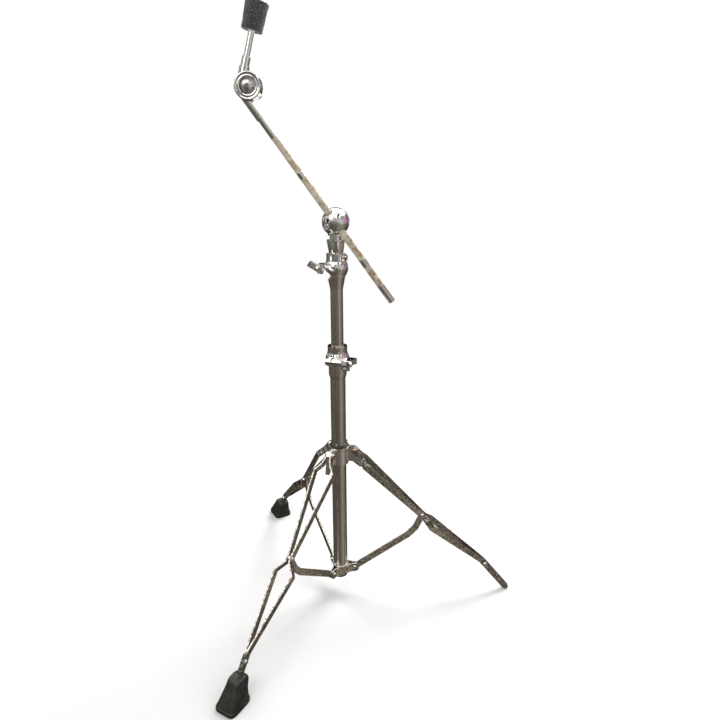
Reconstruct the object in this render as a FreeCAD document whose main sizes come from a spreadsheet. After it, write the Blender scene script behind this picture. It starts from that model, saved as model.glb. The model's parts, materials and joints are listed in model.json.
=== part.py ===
"""Cymbal boom stand: a double-braced tripod, a two-section telescoping mast, a ball-shaped
boom tilter, a knurled boom arm and a cymbal tilter with its felts.

Millimetres. The mast axis is +Z and the floor is z = 0. The right leg points along +X and the
boom arm swings in the XZ plane. Every size is a cell of the sheet, and every piece is bound to it.
"""
import FreeCAD, Part
import Sketcher
import math
import os

doc = FreeCAD.newDocument("cymbal_boom_stand")
sheet = doc.addObject("Spreadsheet::Sheet", "Sizes")

DRIVING_SIZES = {
    # mast tubes
    "upper_tube_od": 19.0, "upper_tube_wall": 1.2, "upper_tube_length": 420.0,
    "middle_tube_room": 1.3, "middle_tube_wall": 1.2, "middle_tube_length": 480.0,
    "base_tube_room": 1.8, "base_tube_wall": 1.2, "base_tube_bottom": 42.0, "base_tube_top": 543.0,
    "middle_above_base": 175.5, "base_bushing_wall": 3.99, "middle_bushing_wall": 5.99,
    "bell_length": 53.0, "base_bell_cone": 9.0, "middle_bell_cone": 26.0, "bell_wall": 1.4,
    "bushing_length": 44.0, "middle_bushing_length": 25.0, "sliding_gap": 0.06, "fixed_gap": 0.05,
    # height clamps
    "clamp_height": 28.0, "clamp_above_tube": 2.0, "clamp_bulge": 5.6,
    "clamp_rim_wall": 1.8, "clamp_slit": 3.0, "clamp_ear_reach": 12.0,
    "clamp_ear_radius": 7.5, "clamp_ear_half": 9.0, "clamp_bolt_radius": 3.0,
    "upper_clamp_facing": 181.0, "upper_wing_turn": -36.0, "lower_clamp_facing": 252.0,
    "lower_wing_turn": 2.0, "bolt_head_radius": 6.0, "bolt_head": 3.6,
    "lock_height": 11.0, "lower_lock_wall": 7.0, "upper_lock_wall": 9.0, "lock_gap": 0.5,
    "lock_slit": 2.5, "lock_lug": 5.0, "lock_key_radius": 2.5, "upper_lock_facing": 320.0,
    "lower_lock_facing": 75.0,
    # wing nuts
    "wing_span": 47.0, "wing_thick": 10.5, "wing_wall": 2.0, "wing_hub_radius": 5.8,
    "wing_hub_length": 30.0, "head_wing_span": 36.0, "screw_wing_span": 26.0,
    "screw_hub_length": 15.0,
    # legs
    "strip_width": 13.0, "strip_thick": 3.0, "leg_pivot_beyond_collar": 13.5, "leg_pivot_up": 335.0,
    "shoulder_run": 20.0, "shoulder_drop": 26.5, "leg_joint_out": 174.0, "leg_joint_up": 184.0,
    "lower_jog": 21.0, "knee_out": 306.0, "knee_up": 73.0, "tip_out": 356.0,
    "bare_tip_run": 5.0,
    "leg_lug_thick": 7.4, "side_gap": 0.2, "first_bend": 20.0, "first_bow": 10.0,
    "second_bend": 34.0, "upper_bow": 21.5, "lower_bend": 28.0, "lower_bow": 20.0,
    "leg_bolt_radius": 3.5, "leg_bolt_head_radius": 6.2, "leg_bolt_head": 3.2,
    "rivet_radius": 3.0, "rivet_head_radius": 5.2, "rivet_head": 2.2,
    # stays and lower bracket
    "stay_thick": 4.0, "stay_pivot_beyond_tube": 16.0, "stay_pivot_up": 56.0,
    "elbow_in_run": 29.0, "elbow_in_drop": 47.5, "elbow_out_run": 13.5, "elbow_out_drop": 30.5,
    "bracket_plate": 2.5, "bracket_height": 20.0, "bracket_end_radius": 9.5,
    "bracket_ring_wall": 1.75, "bracket_bend": 10.0, "bracket_head_radius": 4.8,
    # sliding leg collar
    "collar_below_pivot": 27.0, "collar_height": 38.0, "collar_wall": 3.44, "collar_bush_wall": 0.95,
    "collar_flange_wall": 1.5, "bush_flange": 3.2, "collar_flange": 3.5, "collar_boss_radius": 8.5,
    "collar_boss": 6.5, "collar_screw_facing": 74.0, "collar_screw_radius": 4.0,
    # rubber feet
    "foot_behind_tip": 33.0, "foot_beyond_tip": 18.5, "foot_height": 51.0, "foot_half_width": 21.5,
    "foot_under_tip": 3.2,
    "foot_waist_half": 13.5, "foot_sole_height": 8.0, "foot_fit": 0.1,
    # boom tilter
    "ball_above_neck": 56.0, "ball_front_wall": 1.75, "ball_gap": 0.35, "ball_split": 0.8,
    "eye_to_split": 0.45, "arm_clearance": 0.8, "boom_tilt": 35.7, "neck_above_lock": 1.0, "neck_wall": 3.75,
    "neck_lip_od": 34.0, "neck_cone_height": 22.0, "neck_lip": 2.2, "neck_groove_od": 23.0,
    "neck_groove": 7.8, "neck_collar_od": 30.0, "neck_collar": 12.0, "neck_socket": 19.0,
    "flute_radius": 8.0, "flute_reach": 22.6,
    "arm_od": 12.7, "arm_wall": 2.15, "arm_above": 240.0, "arm_below": 177.5,
    "liner_wall": 1.29, "eye_wall": 3.5, "eye_width": 9.0,
    "eye_bolt_radius": 4.0, "eye_bolt_length": 42.0, "tilt_washer_radius": 20.0,
    "badge_length": 33.6, "badge_width": 11.0, "badge_proud": 1.2, "badge_rib": 0.7,
    "key_screw_out": 15.5, "key_screw_down": 8.0, "key_screw_radius": 5.0,
    "key_socket_radius": 2.6, "key_screw_depth": 7.0,
    # cymbal tilter
    "head_along": 263.6, "head_offset": 14.3, "head_radius": 22.5, "head_half_thick": 12.0,
    "head_split": 0.8, "ferrule_wall": 1.4, "ferrule_length": 29.0, "head_recess_radius": 16.0,
    "head_recess": 2.5, "cap_nut_radius": 9.2, "cap_nut": 4.5, "head_bolt_radius": 4.0,
    "stem_offset": 12.5, "stem_od": 17.0, "stem_length": 28.3, "stem_step_od": 14.2,
    "stem_step_length": 15.1, "rod_od": 10.0, "rod_length": 37.0, "rod_lean": 15.4,
    "thread_od": 8.0, "thread_length": 41.0, "sleeve_wall": 1.74, "sleeve_length": 42.5,
    # felts
    "felt_start": 82.7, "felt_bottom_od": 35.6, "felt_middle_od": 37.4, "felt_top_od": 39.4,
    "felt_thick": 22.0,
}


class Size:
    """A length or angle together with the sheet formula that gives it."""

    def __init__(self, value, formula):
        self.value = value
        self.formula = formula

    def __add__(self, other):
        other = as_size(other)
        return Size(self.value + other.value, f"({self.formula} + {other.formula})")

    def __sub__(self, other):
        other = as_size(other)
        return Size(self.value - other.value, f"({self.formula} - {other.formula})")

    def __mul__(self, other):
        other = as_size(other)
        return Size(self.value * other.value, f"({self.formula} * {other.formula})")

    def __truediv__(self, other):
        other = as_size(other)
        return Size(self.value / other.value, f"({self.formula} / {other.formula})")

    def __neg__(self):
        return Size(-self.value, f"(0 - {self.formula})")

    def __rsub__(self, other):
        return as_size(other) - self

    __radd__ = __add__
    __rmul__ = __mul__


def as_size(number):
    if isinstance(number, Size):
        return number
    return Size(float(number), f"({float(number)})")


def square_root(size):
    return Size(math.sqrt(size.value), f"sqrt({size.formula})")


def cosine(degrees):
    return Size(math.cos(math.radians(degrees.value)), f"cos({degrees.formula})")


def sine(degrees):
    return Size(math.sin(math.radians(degrees.value)), f"sin({degrees.formula})")


def direction_angle(rise, run):
    """Angle in degrees of a line that goes up by rise and along by run."""
    value = math.degrees(math.atan2(rise.value, run.value))
    return Size(value, f"(atan2({rise.formula}; {run.formula}) / 1 deg)")


class Sizes:
    """Gives each cell of the sheet by its alias."""

    def __init__(self, values):
        self.values = values

    def __getattr__(self, name):
        return Size(self.values[name], f"Sizes.{name}")


def fill_sheet():
    for row, (name, value) in enumerate(DRIVING_SIZES.items(), start=1):
        sheet.set(f"A{row}", name.replace("_", " "))
        sheet.set(f"B{row}", str(value))
        sheet.setAlias(f"B{row}", name)
    doc.recompute()


fill_sheet()
S = Sizes(DRIVING_SIZES)
SUBPARTS = []


# ---------------------------------------------------------------- building blocks

def bind(obj, path, size):
    obj.setExpression(path, as_size(size).formula)


TURN_FROM_Z = {"x": (FreeCAD.Vector(0, 1, 0), 90), "y": (FreeCAD.Vector(1, 0, 0), -90),
               "z": (FreeCAD.Vector(0, 0, 1), 0)}


def place(obj, at=(0, 0, 0), turn_axis=None, turn=0):
    """Move an object to a bound position, turned about one axis by a bound angle."""
    if turn_axis is not None:
        angle = as_size(turn)
        obj.Placement = FreeCAD.Placement(FreeCAD.Vector(), FreeCAD.Rotation(turn_axis, angle.value))
        if isinstance(turn, Size):
            bind(obj, "Placement.Rotation.Angle", angle)
    for letter, size in zip("xyz", at):
        bind(obj, f"Placement.Base.{letter}", size)
    return obj


def cylinder(radius, length, at=(0, 0, 0), along="z"):
    obj = doc.addObject("Part::Cylinder", "round_bar")
    bind(obj, "Radius", radius)
    bind(obj, "Height", length)
    axis, angle = TURN_FROM_Z[along]
    return place(obj, at, axis, angle)


def cone(radius_low, radius_high, length, at=(0, 0, 0), along="z"):
    obj = doc.addObject("Part::Cone", "taper")
    bind(obj, "Radius1", radius_low)
    bind(obj, "Radius2", radius_high)
    bind(obj, "Height", length)
    axis, angle = TURN_FROM_Z[along]
    return place(obj, at, axis, angle)


def sphere(radius, at=(0, 0, 0)):
    obj = doc.addObject("Part::Sphere", "ball")
    bind(obj, "Radius", radius)
    return place(obj, at)


def box(size_x, size_y, size_z, at):
    obj = doc.addObject("Part::Box", "block")
    bind(obj, "Length", size_x)
    bind(obj, "Width", size_y)
    bind(obj, "Height", size_z)
    return place(obj, at)


def fuse(*shapes):
    obj = doc.addObject("Part::MultiFuse", "joined")
    obj.Shapes = list(shapes)
    obj.Refine = True
    return obj


def common(*shapes):
    obj = doc.addObject("Part::MultiCommon", "shared")
    obj.Shapes = list(shapes)
    return obj


def cut(base, *tools):
    obj = doc.addObject("Part::Cut", "trimmed")
    obj.Base = base
    obj.Tool = tools[0] if len(tools) == 1 else fuse(*tools)
    return obj


def group(*shapes):
    obj = doc.addObject("Part::Compound", "set")
    obj.Links = list(shapes)
    return obj


def tube(outer, inner, length, at=(0, 0, 0), along="z"):
    return cut(cylinder(outer, length, at, along), cylinder(inner, length, at, along))


def outline(sketch, points, closed):
    """Straight edges through points, each coordinate held by a constraint bound to its size."""
    count = len(points)
    corners = [FreeCAD.Vector(as_size(x).value, as_size(y).value, 0) for x, y in points]
    edges = count if closed else count - 1
    for i in range(edges):
        sketch.addGeometry(Part.LineSegment(corners[i], corners[(i + 1) % count]), False)
    joints = range(edges) if closed else range(1, edges)
    for i in joints:
        sketch.addConstraint(Sketcher.Constraint("Coincident", (i - 1) % edges, 2, i, 1))
    for i, (x, y) in enumerate(points):
        edge, end = (i, 1) if i < edges else (edges - 1, 2)
        for kind, size, axis in (("DistanceX", as_size(x), -2), ("DistanceY", as_size(y), -1)):
            if abs(size.value) < 1e-9:
                sketch.addConstraint(Sketcher.Constraint("PointOnObject", edge, end, axis))
                continue
            place_at = Sketcher.Constraint(kind, -1, 1, edge, end, size.value)
            number = sketch.addConstraint(place_at)
            sketch.setExpression(f"Constraints[{number}]", size.formula)


def origin_plane(body, role):
    return [plane for plane in body.Origin.OriginFeatures if plane.Role == role][0]


def body_sketch(body, role, points):
    sketch = body.newObject("Sketcher::SketchObject", "profile")
    sketch.AttachmentSupport = (origin_plane(body, role), [""])
    sketch.MapMode = "FlatFace"
    outline(sketch, points, True)
    return sketch


def lathe(points):
    """A body turned about Z from an outline of (radius, height) corners."""
    body = doc.addObject("PartDesign::Body", "turned")
    sketch = body_sketch(body, "XZ_Plane", points)
    turned = body.newObject("PartDesign::Revolution", "turning")
    turned.Profile = sketch
    turned.ReferenceAxis = (sketch, ["V_Axis"])
    turned.Angle = 360
    sketch.Visibility = False
    return body


def plate(points, thickness, role="XZ_Plane"):
    """A body padded evenly to both sides of an origin plane."""
    body = doc.addObject("PartDesign::Body", "plate")
    pad = body.newObject("PartDesign::Pad", "pad")
    pad.Profile = body_sketch(body, role, points)
    body.Tip = pad
    pad.Midplane = True
    bind(pad, "Length", thickness)
    return body


def band(points, width, depth, role):
    """A flat bar that follows an open path, width across the path and depth through it."""
    path = doc.addObject("Sketcher::SketchObject", "path")
    if role == "XZ":
        path.Placement = FreeCAD.Placement(FreeCAD.Vector(), FreeCAD.Rotation(FreeCAD.Vector(1, 0, 0), 90))
    outline(path, points, False)
    wide = doc.addObject("Part::Offset2D", "wide")
    wide.Source = path
    wide.Join = "Arc"
    wide.Fill = True
    bind(wide, "Value", width / 2)
    bar = doc.addObject("Part::Extrusion", "bar")
    bar.Base = wide
    bar.DirMode = "Normal"
    bar.Symmetric = True
    bar.Solid = True
    bind(bar, "LengthFwd", depth)
    return bar


def subpart(name, obj):
    obj.Label = name
    SUBPARTS.append(obj)
    return obj


def ring_of_three(points):
    """Repeat plan points for a plate that runs from one leg to the next, 120 degrees round."""
    half_root = square_root(Size(3.0, "(3.0)")) / 2
    turned = [(-x / 2 - y * half_root, y / 2 - x * half_root) for x, y in reversed(points)]
    return points + turned


UP = FreeCAD.Vector(0, 0, 1)
ACROSS = FreeCAD.Vector(0, 1, 0)
LEG_FACING = {"right_leg": 0, "front_leg": -120, "rear_leg": 120}


def turned_about_mast(obj, degrees, height=0):
    return place(obj, (0, 0, height), UP, degrees)


# ---------------------------------------------------------------- mast tubes

def belled_tube(bottom, top, radius, wall, bell_radius, cone_length):
    cone_start = top - S.bell_length
    cone_end = cone_start + cone_length
    inner = bell_radius - S.bell_wall
    return lathe([(radius, bottom), (radius, cone_start), (bell_radius, cone_end), (bell_radius, top),
                  (inner, top), (inner, cone_end), (radius - wall, cone_start),
                  (radius - wall, bottom)])


upper_radius = S.upper_tube_od / 2
middle_radius = upper_radius + S.middle_tube_room + S.middle_tube_wall
base_radius = middle_radius + S.base_tube_room + S.base_tube_wall
base_top = S.base_tube_top
middle_top = base_top + S.middle_above_base
base_bush_out = middle_radius + S.sliding_gap + S.base_bushing_wall
middle_bush_out = upper_radius + S.sliding_gap + S.middle_bushing_wall
base_bell = base_bush_out + S.fixed_gap + S.bell_wall
middle_bell = middle_bush_out + S.fixed_gap + S.bell_wall

subpart("base_tube", belled_tube(S.base_tube_bottom, base_top, base_radius, S.base_tube_wall,
                                 base_bell, S.base_bell_cone))
subpart("middle_tube", belled_tube(middle_top - S.middle_tube_length, middle_top, middle_radius,
                                   S.middle_tube_wall, middle_bell, S.middle_bell_cone))
neck_bottom = middle_top + S.clamp_above_tube + S.lock_gap + S.lock_height + S.neck_above_lock
upper_top = neck_bottom + S.neck_socket - 0.5
subpart("upper_tube", tube(upper_radius, upper_radius - S.upper_tube_wall, S.upper_tube_length,
                           (0, 0, upper_top - S.upper_tube_length)))

subpart("base_bushing", tube(base_bush_out, middle_radius + S.sliding_gap, S.bushing_length,
                             (0, 0, base_top + 1.5 - S.bushing_length)))
subpart("middle_bushing", tube(middle_bush_out, upper_radius + S.sliding_gap, S.middle_bushing_length,
                               (0, 0, middle_top + 1.5 - S.middle_bushing_length)))

plug_radius = base_radius - S.base_tube_wall - S.fixed_gap
subpart("tube_end_plug", fuse(cylinder(plug_radius, 16, (0, 0, S.base_tube_bottom - 0.5)),
                              cylinder(base_radius - 0.2, 3.5, (0, 0, S.base_tube_bottom - 3.55))))


# ---------------------------------------------------------------- wing nuts and height clamps

def wing_nut(bore_radius, hub_start, hub_length, span):
    """Wing nut along local +Y with wings along local X that are hollow at their ends."""
    hub = cone(S.wing_hub_radius * 1.18, S.wing_hub_radius * 0.94, hub_length, (0, hub_start, 0), "y")
    reach = span / 2
    root = hub_start + hub_length * 0.30
    knee = hub_start + hub_length * 0.62
    crown = hub_start + hub_length * 0.84
    tip = hub_start + hub_length * 1.12
    wings = plate([(-reach, knee), (-reach * 0.80, knee - 2), (-4, root), (4, root),
                   (reach * 0.80, knee - 2), (reach, knee), (reach, tip - 2), (reach * 0.86, tip),
                   (4, crown), (-4, crown), (-reach * 0.86, tip), (-reach, tip - 2)],
                  S.wing_thick, "XY_Plane")
    slot = S.wing_thick - S.wing_wall * 2
    pocket_floor = knee + S.wing_wall
    pocket_top = tip - 2 - S.wing_wall
    pockets = [box(7, pocket_top - pocket_floor, slot, (side, pocket_floor, -slot / 2))
               for side in (-reach - 1, reach - 6)]
    hole = cylinder(bore_radius, hub_length + 4, (0, hub_start - 2, 0), "y")
    return cut(fuse(hub, cut(wings, *pockets)), hole)


def clamp(prefix, bottom, sleeve_radius, facing, wing_turn):
    """Split clamp collar, its bolt and its wing nut, built facing +X and then turned."""
    mid = S.clamp_height / 2
    ear = S.clamp_ear_half
    reach = sleeve_radius + S.clamp_ear_reach
    bulge = sleeve_radius + S.clamp_bulge
    barrel = fuse(common(sphere(bulge, (0, 0, mid)), cylinder(bulge + 1, S.clamp_height)),
                  cylinder(sleeve_radius + S.clamp_rim_wall, S.clamp_height))
    web = box(reach - 14, ear * 2, S.clamp_ear_radius * 2, (14, -ear, mid - S.clamp_ear_radius))
    ears = cylinder(S.clamp_ear_radius, ear * 2, (reach, -ear, mid), "y")
    bore = cylinder(sleeve_radius + S.fixed_gap, S.clamp_height + 2, (0, 0, -1))
    slit = box(reach, S.clamp_slit, S.clamp_height + 2, (12, -S.clamp_slit / 2, -1))
    bolt_hole = cylinder(S.clamp_bolt_radius + S.fixed_gap, ear * 2 + 2, (reach, -ear - 1, mid), "y")
    collar = cut(fuse(barrel, web, ears), bore, slit, bolt_hole)
    subpart(prefix + "_clamp_collar", turned_about_mast(collar, facing, bottom))

    head = cylinder(S.bolt_head_radius, S.bolt_head, (reach, -ear - S.bolt_head - 0.05, mid), "y")
    shank = cylinder(S.clamp_bolt_radius, ear * 2 + S.wing_hub_length - 1,
                     (reach, -ear - 1, mid), "y")
    subpart(prefix + "_clamp_bolt", turned_about_mast(fuse(head, shank), facing, bottom))

    nut = wing_nut(S.clamp_bolt_radius + S.fixed_gap, ear + 0.1, S.wing_hub_length, S.wing_span)
    place(nut, (reach, 0, mid), ACROSS, wing_turn)
    subpart(prefix + "_wing_nut", turned_about_mast(group(nut), facing, bottom))


def memory_lock(prefix, bottom, tube_radius, outer_radius, facing):
    """Split ring that marks a set height, closed by a drum-key screw through its lug."""
    mid = S.lock_height / 2
    ring = cylinder(outer_radius, S.lock_height)
    lug_reach = outer_radius + S.lock_lug
    lug = box(lug_reach - tube_radius - 2, 11, S.lock_height, (tube_radius + 2, -5.5, 0))
    bore = cylinder(tube_radius + S.fixed_gap, S.lock_height + 2, (0, 0, -1))
    slit = box(lug_reach, S.lock_slit, S.lock_height + 2, (8, -S.lock_slit / 2, -1))
    key_at = lug_reach - 3.4
    screw_hole = cylinder(S.lock_key_radius + S.fixed_gap, 13, (key_at, -6.5, mid), "y")
    subpart(prefix + "_memory_lock",
            turned_about_mast(cut(fuse(ring, lug), bore, slit, screw_hole), facing, bottom))
    screw = fuse(cylinder(S.lock_key_radius, 14, (key_at, -6.5, mid), "y"),
                 box(3.6, 5, 3.6, (key_at - 1.8, -11, mid - 1.8)))
    subpart(prefix + "_lock_screw", turned_about_mast(screw, facing, bottom))


clamp("base", base_top + S.clamp_above_tube - S.clamp_height, base_bell, S.lower_clamp_facing,
      S.lower_wing_turn)
clamp("middle", middle_top + S.clamp_above_tube - S.clamp_height, middle_bell,
      S.upper_clamp_facing, S.upper_wing_turn)
memory_lock("middle", base_top + S.clamp_above_tube + S.lock_gap, middle_radius,
            middle_radius + S.lower_lock_wall, S.lower_lock_facing)
memory_lock("upper", middle_top + S.clamp_above_tube + S.lock_gap, upper_radius,
            upper_radius + S.upper_lock_wall, S.upper_lock_facing)


# ---------------------------------------------------------------- sliding leg collar

collar_bore = base_radius + S.sliding_gap
bush_outer = collar_bore + S.collar_bush_wall
collar_radius = bush_outer + S.fixed_gap + S.collar_wall
collar_bottom = S.leg_pivot_up - S.collar_below_pivot
collar_top = collar_bottom + S.collar_height
screw_up = collar_bottom + S.collar_height / 2
boss_reach = collar_radius + S.collar_boss
P = (collar_radius + S.leg_pivot_beyond_collar, S.leg_pivot_up)
bush_bore = cylinder(collar_bore, S.collar_height + 12, (0, 0, collar_bottom - 4))
bush_flange = cylinder(collar_radius - 1.2, S.bush_flange, (0, 0, collar_top + S.fixed_gap))
subpart("leg_collar_bushing", cut(fuse(cylinder(bush_outer, S.collar_height + 2.5,
                                                (0, 0, collar_bottom - 1.5)), bush_flange), bush_bore))

lug_parts = []
for facing in LEG_FACING.values():
    root = collar_radius - 2
    lug = plate([(root, collar_bottom + 4), (collar_radius + 8.5, collar_bottom + 3),
                 (P[0] + 9, P[1] - 36.5), (P[0] + 13, P[1] - 35.5), (P[0] + 8, P[1] - 6),
                 (P[0] + 7.5, P[1] + 2), (P[0] + 1, P[1] + 9), (root, collar_top - 1)],
                S.leg_lug_thick)
    lug_parts.append(turned_about_mast(group(lug), facing))
    hole = cylinder(S.leg_bolt_radius + S.fixed_gap, 20, (P[0], -10, P[1]), "y")
    lug_parts[-1] = cut(lug_parts[-1], turned_about_mast(group(hole), facing))
screw_boss = turned_about_mast(group(cylinder(S.collar_boss_radius, S.collar_boss + 2.5,
                                              (0, collar_radius - 2.5, screw_up), "y")), S.collar_screw_facing - 90)
screw_tap = turned_about_mast(group(cylinder(S.collar_screw_radius + S.fixed_gap, 15,
                                             (0, 15, screw_up), "y")), S.collar_screw_facing - 90)
collar_solid = fuse(cylinder(collar_radius, S.collar_height, (0, 0, collar_bottom)),
                    cylinder(collar_radius + S.collar_flange_wall, S.collar_flange,
                             (0, 0, collar_top - S.collar_flange)),
                    screw_boss, *lug_parts)
subpart("leg_collar", cut(collar_solid, screw_tap,
                          cylinder(bush_outer + S.fixed_gap, S.collar_height + 2,
                                   (0, 0, collar_bottom - 1))))

screw_start = bush_outer + 1
screw_shank = cylinder(S.collar_screw_radius, boss_reach + S.screw_hub_length - 1 - screw_start,
                       (0, screw_start, 0), "y")
screw_wings = wing_nut(S.collar_screw_radius - 0.5, boss_reach + 0.4, S.screw_hub_length,
                       S.screw_wing_span)
wing_screw = place(group(fuse(screw_shank, screw_wings)), (0, 0, screw_up), ACROSS, 90)
subpart("leg_collar_wing_screw", turned_about_mast(group(wing_screw), S.collar_screw_facing - 90))


# ---------------------------------------------------------------- legs, stays and their rivets

M = (S.leg_joint_out, S.leg_joint_up)
K = (S.knee_out, S.knee_up)
stay_pivot = (base_radius + S.stay_pivot_beyond_tube, S.stay_pivot_up)
shoulder = (P[0] + S.shoulder_run, P[1] - S.shoulder_drop)
lower_jog = (M[0] + S.lower_jog, M[1] - S.lower_jog)
booted_tip = (S.tip_out, S.strip_width / 2 + S.foot_under_tip)
bare_tip = (S.tip_out + S.bare_tip_run, S.strip_width / 2)
chord_angle = direction_angle(P[1] - booted_tip[1], S.tip_out - P[0])


def along_chord(point):
    """Distance of a point of the leg plane from the leg pivot, along the leg's chord."""
    return (point[0] - P[0]) * cosine(chord_angle) + (P[1] - point[1]) * sine(chord_angle)


pivot_bow = (S.leg_lug_thick + S.strip_thick) / 2 + S.side_gap
joint_bow = (S.stay_thick + S.strip_thick) / 2 + S.side_gap
tip_bow = S.strip_thick / 2 + 0.15
at_joint = along_chord(M)
at_knee = along_chord(K)
tip_rivet = (K[0] + (S.tip_out - K[0]) * 0.16, K[1] + (booted_tip[1] - K[1]) * 0.16)


def leg_strip(side, tip):
    """One bowed strip of a leg in the XZ plane: its side outline crossed with its plan outline."""
    edge_view = band([P, shoulder, lower_jog, K, tip], S.strip_width, 70, "XZ")
    bows = [(-12, pivot_bow), (8.5, pivot_bow), (S.first_bend, S.first_bow),
            (S.second_bend, S.upper_bow), (at_joint - 6.5, joint_bow), (at_joint + 6.5, joint_bow),
            (at_joint + S.lower_bend, S.lower_bow), (at_knee - 4, tip_bow), (at_knee + 110, tip_bow)]
    plan = band([(x, as_size(bow) * side) for x, bow in bows], S.strip_thick, 160, "XY")
    place(plan, (P[0], 0, P[1]), ACROSS, chord_angle)
    holes = [cylinder(S.leg_bolt_radius + S.fixed_gap, 80, (P[0], -40, P[1]), "y"),
             cylinder(S.rivet_radius + S.fixed_gap, 80, (M[0], -40, M[1]), "y"),
             cylinder(S.rivet_radius + S.fixed_gap, 80, (tip_rivet[0], -40, tip_rivet[1]), "y")]
    return cut(common(edge_view, plan), *holes)


def headed_pin(shank_radius, head_radius, head, reach_low, reach_high, at):
    """Rivet or bolt along Y between two faces, with a round head beyond each face."""
    shank = cylinder(shank_radius, reach_high - reach_low, (at[0], reach_low, at[1]), "y")
    low = cone(head_radius * 0.72, head_radius, head, (at[0], reach_low - head - 0.05, at[1]), "y")
    high = cone(head_radius, head_radius * 0.72, head, (at[0], reach_high + 0.05, at[1]), "y")
    neck_low = cylinder(shank_radius, head, (at[0], reach_low - head / 2, at[1]), "y")
    neck_high = cylinder(shank_radius, head, (at[0], reach_high - head / 2, at[1]), "y")
    return fuse(shank, low, high, neck_low, neck_high)


def half_rivet(side):
    """Rivet half that holds one strip at the stay joint and stops short of the stay."""
    inner = joint_bow - S.strip_thick / 2 + 0.02
    outer = joint_bow + S.strip_thick / 2 + 0.05
    if side > 0:
        shank = cylinder(S.rivet_radius, outer - inner + S.rivet_head / 2, (M[0], inner, M[1]), "y")
        head = cone(S.rivet_head_radius, S.rivet_head_radius * 0.72, S.rivet_head,
                    (M[0], outer, M[1]), "y")
    else:
        shank = cylinder(S.rivet_radius, outer - inner + S.rivet_head / 2,
                         (M[0], -outer - S.rivet_head / 2, M[1]), "y")
        head = cone(S.rivet_head_radius * 0.72, S.rivet_head_radius, S.rivet_head,
                    (M[0], -outer - S.rivet_head, M[1]), "y")
    return fuse(shank, head)


leg_bolts = []
stay_rivets = []
for leg, facing in LEG_FACING.items():
    bare = leg == "right_leg"
    tip = bare_tip if bare else booted_tip
    for side, side_name in ((1, "left"), (-1, "right")):
        strip = turned_about_mast(group(leg_strip(side, tip)), facing)
        subpart(f"{leg}_{side_name}_strip", strip)
    pair = group(half_rivet(1), half_rivet(-1))
    subpart(f"{leg}_joint_rivet", turned_about_mast(pair, facing))
    tip_pin = headed_pin(S.rivet_radius, S.rivet_head_radius, S.rivet_head, -S.strip_thick - 0.15,
                         S.strip_thick + 0.15, tip_rivet)
    subpart(f"{leg}_tip_rivet", turned_about_mast(group(tip_pin), facing))

    bolt = headed_pin(S.leg_bolt_radius, S.leg_bolt_head_radius, S.leg_bolt_head,
                      -pivot_bow - S.strip_thick / 2 - 0.05, pivot_bow + S.strip_thick / 2 + 0.05, P)
    leg_bolts.append(turned_about_mast(group(bolt), facing))

    stay = band([stay_pivot, (M[0] - S.elbow_in_run, M[1] - S.elbow_in_drop),
                 (M[0] - S.elbow_out_run, M[1] - S.elbow_out_drop), M], S.strip_width, S.stay_thick, "XZ")
    stay_holes = [cylinder(S.rivet_radius + S.fixed_gap, 12, (stay_pivot[0], -6, stay_pivot[1]), "y"),
                  cylinder(S.rivet_radius + S.fixed_gap, 12, (M[0], -6, M[1]), "y")]
    subpart(leg.replace("leg", "stay"), turned_about_mast(group(cut(stay, *stay_holes)), facing))
    bracket_face = (S.stay_thick / 2 + S.side_gap + S.bracket_plate) + 0.03
    rivet = headed_pin(S.rivet_radius, S.bracket_head_radius, S.rivet_head, -bracket_face, bracket_face,
                       stay_pivot)
    stay_rivets.append(turned_about_mast(group(rivet), facing))
subpart("leg_pivot_bolts", group(*leg_bolts))
subpart("bracket_rivets", group(*stay_rivets))


# ---------------------------------------------------------------- lower bracket

bracket_bottom = S.stay_pivot_up - S.bracket_height / 2
plate_side = S.stay_thick / 2 + S.side_gap + S.bracket_plate / 2
plate_end = stay_pivot[0] + S.bracket_end_radius + 2
plates = []
lug_ends = [cylinder(stay_pivot[0] + 0.5, S.bracket_height, (0, 0, bracket_bottom))]
rivet_holes = []
for facing in LEG_FACING.values():
    run = band(ring_of_three([(plate_end, -plate_side), (base_radius + S.bracket_bend, -plate_side)]), S.bracket_plate,
               S.bracket_height, "XY")
    plates.append(turned_about_mast(group(run), facing, S.stay_pivot_up))
    end = cylinder(S.bracket_end_radius, 14, (stay_pivot[0], -7, stay_pivot[1]), "y")
    lug_ends.append(turned_about_mast(group(end), facing))
    hole = cylinder(S.rivet_radius + S.fixed_gap, 14, (stay_pivot[0], -7, stay_pivot[1]), "y")
    rivet_holes.append(turned_about_mast(group(hole), facing))
bracket_ring = cylinder(base_radius + S.fixed_gap + S.bracket_ring_wall, S.bracket_height,
                        (0, 0, bracket_bottom))
bracket_bore = cylinder(base_radius + S.fixed_gap, S.bracket_height + 2, (0, 0, bracket_bottom - 1))
subpart("lower_bracket", cut(fuse(common(fuse(*plates), fuse(*lug_ends)), bracket_ring),
                             bracket_bore, *rivet_holes))


# ---------------------------------------------------------------- rubber feet

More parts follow.
